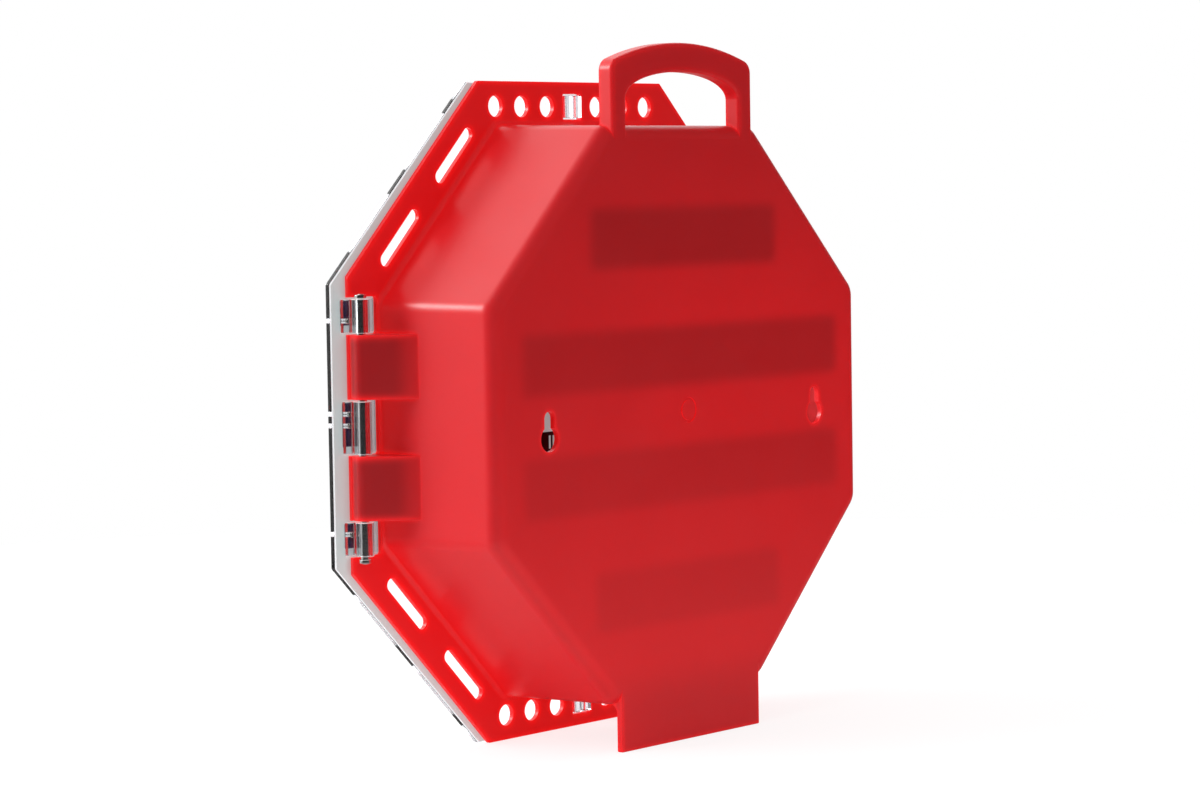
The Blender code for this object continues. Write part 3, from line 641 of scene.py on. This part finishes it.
def trayRing(drawIn, radius, y, steps=8):
    side, slant, end = moulding["sideReach"], moulding["slantReach"], moulding["endReach"]
    sides = ((0, side), (45, slant), (90, end), (135, slant),
             (180, side), (225, slant), (270, end), (315, slant), (360, side))
    ring = []
    for (first, nearReach), (second, farReach) in zip(sides, sides[1:]):
        near, far = nearReach - drawIn - radius, farReach - drawIn - radius
        turn, bend = math.radians(first), math.radians(second - first)
        shift = (far - near * math.cos(bend)) / math.sin(bend)
        x = near * math.cos(turn) - shift * math.sin(turn)
        z = near * math.sin(turn) + shift * math.cos(turn)
        ring += [(a, y, box["half"] + b) for a, b in arc(x, z, radius, first, second, steps)]
    return ring


def trayOutside():
    piece = moulding
    slope = piece["drawIn"] / box["back"]
    foot, corner, back = piece["footRadius"], piece["cornerRadius"], piece["backRadius"]
    rings = [trayRing(-foot, corner, -2.0)]
    for i in range(7):
        a = math.radians(15 * i)
        rings.append(trayRing(-foot * (1 - math.sin(a)), corner, foot * (1 - math.cos(a))))
    for a, b in arc(0, 0, back, 0, 90, 12):
        y = box["back"] - back + b
        rings.append(trayRing(slope * y + back - a, corner, y))
    return loftObject("tray", rings)


def trayInside():
    # a step at the mouth, then the wall's thickness inside the outer form
    piece = moulding
    slope, wall = piece["drawIn"] / box["back"], piece["wall"]
    corner, inner = piece["cornerRadius"] - wall, piece["backRadius"] - wall
    mouth = ((0.8, -3.8), (0.8, -2.8), (0.2, -2.5), (0.0, -2.0))
    rings = [trayRing(wall - wider, corner, y) for wider, y in mouth]
    for a, b in arc(0, 0, inner, 0, 90, 10):
        y = box["back"] - piece["backRadius"] + b
        rings.append(trayRing(wall + slope * y + inner - a, corner, y))
    return loftObject("hollow", rings)


handlePiece = {
    "half": 57.0, "top": 361.0, "topRadius": 165.0, "corner": 7.0, "root": 306.0, "front": 66.2, "edge": 2.0,
    "gapHalf": 46.0, "gapSpring": 332.0, "gapRise": 14.0,
}


def handleForm():
    piece = handlePiece
    half, root, corner, gap = piece["half"], piece["root"], piece["corner"], piece["gapHalf"]
    middle = piece["top"] - piece["topRadius"]
    reach, x = piece["topRadius"] - corner, half - corner
    rise = math.sqrt(reach ** 2 - x ** 2)
    lean = math.degrees(math.atan2(rise, x))
    right = arc(x, middle + rise, corner, 0, lean, 10)
    top = arc(0, middle, piece["topRadius"], lean, 180 - lean, 24)[1:-1]
    outline = [(half, root)] + right + top + [(-a, b) for a, b in right[::-1]]
    outline += [(-half, root), (-gap, root)]
    outline += [(gap * a, piece["gapSpring"] + piece["gapRise"] * b) for a, b in arc(0, 0, 1, 180, 0, 36)]
    outline.append((gap, root))
    obj = prism("handle", outline, piece["front"], box["back"], "Y")
    return bevel(obj, piece["edge"], 6, 70)


def hoodForms():
    # round over the pin, then a slope that meets the tray's wall
    root, top = moulding["hoodRoot"], moulding["hoodClimb"]
    run, climb = hinge["x"] - root, top - hinge["y"]
    lean = math.degrees(math.atan2(climb, -run) - math.acos(hinge["barrel"] / math.hypot(run, climb)))
    outline = [(171.0, -0.5)] + arc(hinge["x"], hinge["y"], hinge["barrel"], 0, lean, 16)
    outline += [(root, top), (root, -0.5)]
    hoods = [prism("hood", outline, low, high, "Z") for low, high in hoodSpans]
    return [bevel(hood, moulding["hoodEdge"], 4, 60) for hood in hoods]


footPiece = {"half": 56.8, "height": 42.0, "root": 66.9, "rear": 72.4, "fillet": 5.5, "filletHeight": 19.1,
             "edge": 0.7}


def footForm():
    piece, back = footPiece, box["back"]
    outline = [(back, 0), (back, piece["height"]), (piece["root"], piece["height"])]
    outline += arc(piece["root"], piece["filletHeight"], piece["fillet"], 90, 0, 10) + [(piece["rear"], 0)]
    return bevel(prism("foot", outline, -piece["half"], piece["half"], "X"), piece["edge"], 4, 60)


keyhole = {"radius": 6.4, "slotHalf": 3.7, "rise": 13.8, "reach": 109.0, "height": 163.7, "lip": 0.35,
           "inside": 73.2}


def keyholeTools():
    piece = keyhole

    def outlineAt(d):
        radius, half = piece["radius"] + d, piece["slotHalf"] + d
        meet = math.degrees(math.asin(half / radius))
        slotTop = arc(0, piece["rise"] - piece["slotHalf"], half, 0, 180, 16)
        return arc(0, 0, radius, 90 + meet, 450 - meet, 36) + slotTop
    shape = loftObject("keyhole shape", lipRings(outlineAt, piece["inside"], box["back"], piece["lip"]))
    first = (-piece["reach"], 0, piece["height"])
    row = makeRow("keyholes", shape, 2, first, (2 * piece["reach"], 0, 0))
    bpy.data.objects.remove(shape)
    return row


def gateTool():
    # the round gate mark: a shallow groove in the back face, as (y, radius)
    profile = ((75.75, 6.55), (77.2, 7.0), (77.2, 4.8), (75.75, 5.15))
    bm = bmesh.new()
    addTube(bm, [[(a, y, box["half"] + b) for a, b in circle(r, 48)] for y, r in profile])
    return makeObject("gate", bm)


notch = {"start": 151.3, "long": 30.0, "gap": 0.9, "corner": 0.6, "lip": 0.3}


def notchTools():
    piece = notch
    tools = []
    for low, high in knuckleSpans.values():
        middle, tall = (low + high) / 2, high - low + 2 * piece["gap"]
        tools.append(loftObject("notch", lipRings(
            lambda d: roundedBox(piece["long"] + 2 * d, tall + 2 * d, piece["corner"] + d, 4,
                                 piece["start"] + piece["long"] / 2, middle),
            box["flangeFront"], box["flangeRear"], piece["lip"])))
    return joinMeshes("notches", tools)


def makeMoulding():
    piece = moulding
    front, rear = box["flangeFront"], box["flangeRear"]
    flange = loftObject("flange", plateRings(
        lambda d: insetOutline(flangeOctagon, d, piece["flangeCorner"]), front, rear, piece["flangeEdge"]))
    body = trayOutside()
    combine(body, [flange, *hoodForms(), handleForm(), footForm()], "UNION")
    # the cutter reaches 1 mm past the flange's hinge edge on both faces
    out, cut = box["half"] + 1, piece["chamfer"] + 2
    chamfer = prism("chamfer", [(out, front - 1), (out, front - 1 + cut), (out - cut, front - 1)],
                    -1, box["side"] + 1, "Z")
    bore = prism("bore", circle(hinge["bore"], 32, hinge["x"], hinge["y"]),
                 piece["boreLow"], piece["boreHigh"], "Z")
    cuts = [trayInside(), holeTools(front, rear, 0, 0, piece["holeLip"], True), notchTools(),
            chamfer, bore, keyholeTools(), gateTool()]
    combine(body, cuts, "DIFFERENCE")
    body.name = "moulded_body"
    return finishPiece(body, "body", ["body_shell"], [redFinish])


makeMoulding()
print("moulded body made")


# the clear door and the sheet behind it

doorPiece = {
    "front": -6.8, "rear": -4.2, "inset": 0.5, "corner": 1.5, "edge": 0.45, "holeLip": 0.3,
    "holeExtra": 4.0, "slotExtra": 3.0, "rimInset": 3.0,
    "labelFront": -3.9, "labelRear": -3.5, "labelInset": 1.1, "labelLip": 0.05,
    # the label's clear window: width, height, corner radius, height of its middle
    "labelWindow": (200, 88, 8, 231.5),
}
doorOctagon = [(78.5, 0), (180.9, 100.8), (180.9, 242.2), (78.5, 343),
               (-73.5, 343), (-171.5, 245), (-171.5, 98), (-73.5, 0)]


def rivetHoles(front, rear):
    outlines = [circle(hinge["rivetHole"], 24, hinge["rivetX"], z) for z in rivetHeights]
    tools = [prism("rivet hole", outline, front - 1, rear + 1, "Y") for outline in outlines]
    return joinMeshes("rivet holes", tools)


def makeDoor():
    piece = doorPiece
    front, rear = piece["front"], piece["rear"]
    door = loftObject("clear_door", plateRings(
        lambda d: insetOutline(doorOctagon, piece["inset"] + d, piece["corner"]),
        front, rear, piece["edge"]))
    cuts = [holeTools(front, rear, piece["holeExtra"], piece["slotExtra"], piece["holeLip"], False),
            rivetHoles(front, rear)]
    combine(door, cuts, "DIFFERENCE")
    finishPiece(door, "door", ["door_panel"], [clearFinish, cutFinish])
    # the walls of the holes are frosted, the rim of the sheet is not
    outline = insetOutline(doorOctagon, piece["rimInset"], piece["corner"], 1)
    for face in door.data.polygons:
        at = fromFrame @ face.center
        inside = all((b[0] - a[0]) * (at.z - a[1]) - (b[1] - a[1]) * (at.x - a[0]) > 0
                     for a, b in zip(outline, outline[1:] + outline[:1]))
        face.material_index = 1 if inside and abs(face.normal.y) < 0.9 else 0


def makeLabel():
    piece = doorPiece
    front, rear = piece["labelFront"], piece["labelRear"]
    label = prism("printed_label", insetOutline(doorOctagon, piece["labelInset"], piece["corner"]),
                  front, rear, "Y")
    wide, tall, corner, middle = piece["labelWindow"]
    window = prism("label window", roundedBox(wide, tall, corner, 8, 0, middle), -5, -2.5, "Y")
    cuts = [holeTools(front, rear, piece["holeExtra"], piece["slotExtra"], piece["labelLip"], True),
            rivetHoles(front, rear), window]
    combine(label, cuts, "DIFFERENCE")
    finishPiece(label, "door", ["door_label"], [rearFinish, frontFinish])
    for face in label.data.polygons:
        face.material_index = 1 if face.normal.y < -0.7 else 0


makeDoor()
makeLabel()
print("door and label made")


# hinge

# leaf of a knuckle: from its inner end to its outer end, between its front and its rear face
leaf = {"inner": 152.2, "outer": 173.8, "front": -3.2, "rear": -1.2, "neckIn": 166.0, "neckOut": 169.8,
        "neckHalf": 1.9, "edge": 0.25}


def makeKnuckle(name, low, high):
    piece = leaf
    front, rear = piece["front"], piece["rear"]
    meet = math.degrees(math.asin(piece["neckHalf"] / hinge["barrel"]))
    outline = [(piece["inner"], front), (piece["outer"], front),
               (piece["outer"], rear), (piece["neckOut"], rear)]
    outline += arc(hinge["x"], hinge["y"], hinge["barrel"], meet - 90, 270 - meet, 40)
    outline += [(piece["neckIn"], rear), (piece["inner"], rear)]
    knuckle = bevel(prism(f"knuckle_{name}", outline, low, high, "Z"), piece["edge"], 3, 50)
    bore = prism("bore", circle(hinge["bore"], 32, hinge["x"], hinge["y"]), low - 1, high + 1, "Z")
    combine(knuckle, [bore, rivetHoles(front, rear)], "DIFFERENCE")
    finishPiece(knuckle, "door", [f"hinge_knuckle_{name}"], [clearFinish, cutFinish])
    for face in knuckle.data.polygons:
        face.material_index = 1 if abs(face.normal.z) > 0.3 else 0


for spanName, (spanLow, spanHigh) in knuckleSpans.items():
    makeKnuckle(spanName, spanLow, spanHigh)


def makeRivets():
    # a tubular rivet along Y: flat dome in front, rolled hollow end behind
    profile = [(-7.9, 1.4)] + [(-7.1 - 0.8 * b, 1.3 + 0.8 * a) for a, b in arc(0, 0, 1, 75, 0, 5)]
    profile += [(-7.1, 0.9), (-0.9, 0.9)]
    profile += [(-0.5 - 0.4 * b, 1.1 + 0.4 * a) for a, b in arc(0, 0, 1, 90, -90, 8)]
    profile += [(-0.1, 0.75), (-0.35, 0.6), (-1.6, 0.55)]
    bm = bmesh.new()
    addLoft(bm, [onY(circle(r, 24), y) for y, r in profile])
    shape = makeObject("rivet shape", bm)
    for number, height in enumerate(rivetHeights, 1):
        place = (hinge["rivetX"], 0, height)
        rivet = makeRow(f"hollow_rivet_{number}", shape, 1, place, finish=steelFinish)
        finishPiece(rivet, "door", [f"knuckle_rivet_{number}"], [steelFinish], 40)
    bpy.data.objects.remove(shape)


makeRivets()


pin = {"low": 103.0, "high": 237.1, "radius": 2.4, "ringRadius": 3.1, "ringBore": 2.7, "ringTall": 2.0,
       "ringEdge": 0.4}


def makeTurned(name, profile, node, bored=False):
    obj = latheObject(name, profile, 40, bored)
    obj.data.transform(Matrix.Translation((hinge["x"], hinge["y"], 0)))
    finishPiece(obj, "body", [node], [steelFinish], 40)


def makePin():
    low, high, radius = pin["low"], pin["high"], pin["radius"]
    taper = ((0.0, 1.7), (0.15, 2.05), (0.5, radius))
    profile = [(low + inward, r) for inward, r in taper] + [(high - inward, r) for inward, r in taper[::-1]]
    makeTurned("pin", profile, "hinge_pin")
    tall, bore, lip = pin["ringTall"], pin["ringBore"], pin["ringEdge"]
    reach = pin["ringRadius"] - lip
    for name, start in (("top", high - 2.4), ("bottom", low + 0.4)):
        edge = arc(0, 0, lip, 0, 90, 4)
        profile = [(start + lip - b, reach + a) for a, b in edge][::-1]
        profile += [(start + (tall - lip) + b, reach + a) for a, b in edge]
        profile += [(start + tall, bore), (start, bore)]
        makeTurned(f"retaining_ring_{name}", profile, f"pin_ring_{name}", True)


makePin()
print("hinge made")


# snap tabs

tabPiece = {"size": (12.5, 11.6), "front": -3.9, "rear": 1.2, "corner": 0.4, "edge": 0.3,
            "slot": (3.0, 13.4), "slotFront": -1.8, "slotRear": 2.2, "slotCorner": 0.3}


def makeTab(name, x, z, turn):
    piece = tabPiece
    # the tab beside the latch lies across, so its two sizes change places
    (wide, tall), (slotWide, slotTall) = [
        size if turn == 0 else size[::-1] for size in (piece["size"], piece["slot"])]
    outline = roundedBox(wide, tall, piece["corner"], 3, x, z)
    tab = bevel(prism(f"clear_tab_{name}", outline, piece["front"], piece["rear"], "Y"), piece["edge"], 3, 50)
    outline = roundedBox(slotWide, slotTall, piece["slotCorner"], 3, x, z)
    combine(tab, [prism("tab slot", outline, piece["slotFront"], piece["slotRear"], "Y")], "DIFFERENCE")
    return finishPiece(tab, "door", [f"snap_tab_{name}"], [clearFinish])


for tabName, (tabX, tabZ, tabTurn) in windowPlaces.items():
    makeTab(tabName, tabX, tabZ, tabTurn)
print("tabs made")


# key rails with rows of moulded hooks

rails = {"tall": 30.0, "front": 70.5, "rear": 72.9, "corner": 3.4, "edge": 0.5,
         "pitch": 23.0, "hookWidth": 3.6, "hookDrop": 7.0, "hookEdge": 0.7}


def hookShape():
    # side view at y 0 = rail front: arm, then a tip turned up, rounded all over
    outline = [(0.4, -3.4), (0.4, 0.0), (-6.4, 0.0)] + arc(-6.4, 1.2, 1.2, 270, 180, 4)
    outline += arc(-9.0, 4.9, 1.4, 10, 170, 6) + [(-10.5, -1.4)] + arc(-8.5, -1.4, 2.0, 180, 270, 5)
    half = rails["hookWidth"] / 2
    return bevel(prism("hook shape", outline, -half, half, "X"), rails["hookEdge"], 3, 50)


def makeRails():
    hook, pitch = hookShape(), rails["pitch"]
    for number, (z, length, _) in enumerate(redPlastic["bars"], 1):
        strip = loftObject("strip", plateRings(
            lambda d: roundedBox(length - 2 * d, rails["tall"] - 2 * d, rails["corner"] - d, 6, 0, z),
            rails["front"], rails["rear"], rails["edge"]))
        count = int((length - pitch / 2) / pitch)
        first = (-(count - 1) / 2 * pitch, rails["front"], z - rails["hookDrop"])
        row = makeRow("hooks", hook, count, first, (pitch, 0, 0), finish=darkFinish)
        rail = joinMeshes(f"hook_rail_{number}", [strip, row])
        finishPiece(rail, "body", [f"key_rail_{number}"], [darkFinish])
    bpy.data.objects.remove(hook)


makeRails()
print("rails made")


# floor, light and camera

studio = {
    "ambient": 0.64, "behind": 0.44, "target": (0, 0, 0.18),
    "floorShade": "#F2F2F2", "floorRadius": 1.1, "bounce": 0.34, "floorGrey": 0.35, "floorLight": 0.8,
    "softboxes": (
        # name, place, size in metres, watts, whether it lights matt surfaces, whether it is reflected
        ("key", (1.08, -0.93, 0.64), 1.1, 17.0, True, False),
        ("strip", (0.9, -0.96, 0.9), 0.4, 11.0, False, True),
        ("top", (0.45, 0.05, 1.6), 0.6, 2.6, True, False),
        ("fill", (-0.6, 1.5, 1.2), 1.2, 1.0, True, False),
    ),
}


def directView(tree):
    # 1 for what the camera sees straight or through the clear pieces
    path = addNode(tree, "ShaderNodeLightPath").outputs
    through = calc(tree, "GREATER_THAN", path["Transmission Depth"], 0.5)
    straight = calc(tree, "LESS_THAN", path["Glossy Depth"], 0.5)
    return calc(tree, "MAXIMUM", path["Is Camera Ray"], times(tree, through, straight))


def makeFloor():
    bm = bmesh.new()
    bmesh.ops.create_circle(bm, cap_ends=True, segments=96, radius=studio["floorRadius"])
    floor = makeObject("pale_floor", bm)
    material = newFinish("matt white floor")
    tree = material.node_tree
    path = addNode(tree, "ShaderNodeLightPath").outputs
    reach = addNode(tree, "ShaderNodeVectorMath", {"operation": "LENGTH"}, {0: ownPlace(tree)})
    # painted light: the floor's colour fades outwards from the box as a painted lit patch, and is dimmer in
    # reflections
    fade = ramp(tree, reach.outputs["Value"], 0.25, 0.95, 1.0, 0.25)
    dim = ramp(tree, path["Is Glossy Ray"], 0.0, 1.0, 1.0, 0.45, "LINEAR")
    shade = blend(tree, times(tree, fade, dim), (0, 0, 0, 1), colour(studio["floorShade"]))
    matt = addNode(tree, "ShaderNodeBsdfDiffuse", {}, {"Color": shade})
    # painted bounce light: an emission that only matt surfaces see
    bounce = addNode(tree, "ShaderNodeEmission", {}, {
        "Color": shade, "Strength": times(tree, path["Is Diffuse Ray"], studio["bounce"])})
    lit = addNode(tree, "ShaderNodeAddShader", {}, {0: matt.outputs[0], 1: bounce.outputs[0]})
    # seen straight, it is nearly white
    keep = addNode(tree, "ShaderNodeBsdfDiffuse", {}, {"Color": (*[studio["floorGrey"]] * 3, 1)})
    white = addNode(tree, "ShaderNodeEmission", {}, {"Color": (1, 1, 1, 1), "Strength": studio["floorLight"]})
    seen = addNode(tree, "ShaderNodeAddShader", {}, {0: keep.outputs[0], 1: white.outputs[0]})
    mixed = addNode(tree, "ShaderNodeMixShader", {}, {
        0: directView(tree), 1: lit.outputs[0], 2: seen.outputs[0]})
    closeFinish(material, mixed.outputs[0])
    floor.data.materials.append(material)


def makeWorld():
    world = bpy.data.worlds.new("studio")
    bpy.context.scene.world = world
    world.use_nodes = True
    tree = world.node_tree
    tree.nodes.clear()
    path = addNode(tree, "ShaderNodeLightPath").outputs
    towards = split(tree, addNode(tree, "ShaderNodeTexCoord").outputs["Generated"])
    # reflections see a room that is bright before the door and above, dark behind the back face
    front = ramp(tree, towards["Y"], 0.0, -0.5, 0.03, 1.0)
    height = ramp(tree, towards["Z"], -0.1, 0.7, 0.7, 1.75, "LINEAR")
    room = times(tree, front, height)
    # matt surfaces get an even light, weaker from below and from behind
    low = ramp(tree, towards["Z"], -0.15, 0.0, 0.4, 1.0)
    back = ramp(tree, towards["Y"], -0.4, 0.4, studio["ambient"], studio["behind"])
    mirror = calc(tree, "MAXIMUM", path["Is Glossy Ray"], path["Is Transmission Ray"])
    mirrored = addNode(tree, "ShaderNodeMix", {"data_type": "FLOAT"}, {
        0: mirror, 2: times(tree, low, back), 3: room})
    strength = addNode(tree, "ShaderNodeMix", {"data_type": "FLOAT"}, {
        0: directView(tree), 2: mirrored.outputs[0], 3: 1.0})
    sky = addNode(tree, "ShaderNodeBackground", {}, {"Color": (1, 1, 1, 1), "Strength": strength.outputs[0]})
    out = addNode(tree, "ShaderNodeOutputWorld")
    tree.links.new(sky.outputs[0], out.inputs["Surface"])


def makeSoftboxes():
    target = Vector(studio["target"])
    for name, place, size, power, matt, mirrored in studio["softboxes"]:
        light = bpy.data.lights.new(name, "AREA")
        light.shape = "SQUARE"
        light.size = size
        light.energy = power
        lamp = bpy.data.objects.new(name, light)
        bpy.context.scene.collection.objects.link(lamp)
        lamp.location = place
        lamp.rotation_euler = (target - Vector(place)).to_track_quat("-Z", "Y").to_euler()
        lamp.visible_camera = False
        lamp.visible_diffuse = matt
        lamp.visible_glossy = mirrored


# turned round the box, looking a little down, tilted a little to the side, in degrees
viewpoint = {"turn": 130.43, "down": 3.77, "roll": -0.91, "place": (1.36355, 1.14755, 0.2932),
             "sensor": 36.0, "lens": 102.0}


def makeCamera():
    turn, tilt, roll = (math.radians(viewpoint[name]) for name in ("turn", "down", "roll"))
    ahead = Vector((-math.sin(turn) * math.cos(tilt), math.cos(turn) * math.cos(tilt), -math.sin(tilt)))
    right = ahead.cross(Vector((0, 0, 1))).normalized()
    up = right.cross(ahead)
    across = right * math.cos(roll) + up * math.sin(roll)
    upward = up * math.cos(roll) - right * math.sin(roll)
    turned = Matrix((across, upward, -ahead)).transposed().to_4x4()
    data = bpy.data.cameras.new("camera")
    data.sensor_width = viewpoint["sensor"]
    data.lens = viewpoint["lens"]
    data.clip_start, data.clip_end = 0.05, 20.0
    camera = bpy.data.objects.new("camera", data)
    bpy.context.scene.collection.objects.link(camera)
    camera.matrix_world = Matrix.Translation(viewpoint["place"]) @ turned
    bpy.context.scene.camera = camera


makeFloor()
makeWorld()
makeSoftboxes()
makeCamera()
bpy.context.scene.view_settings.view_transform = "Standard"
print("studio set")
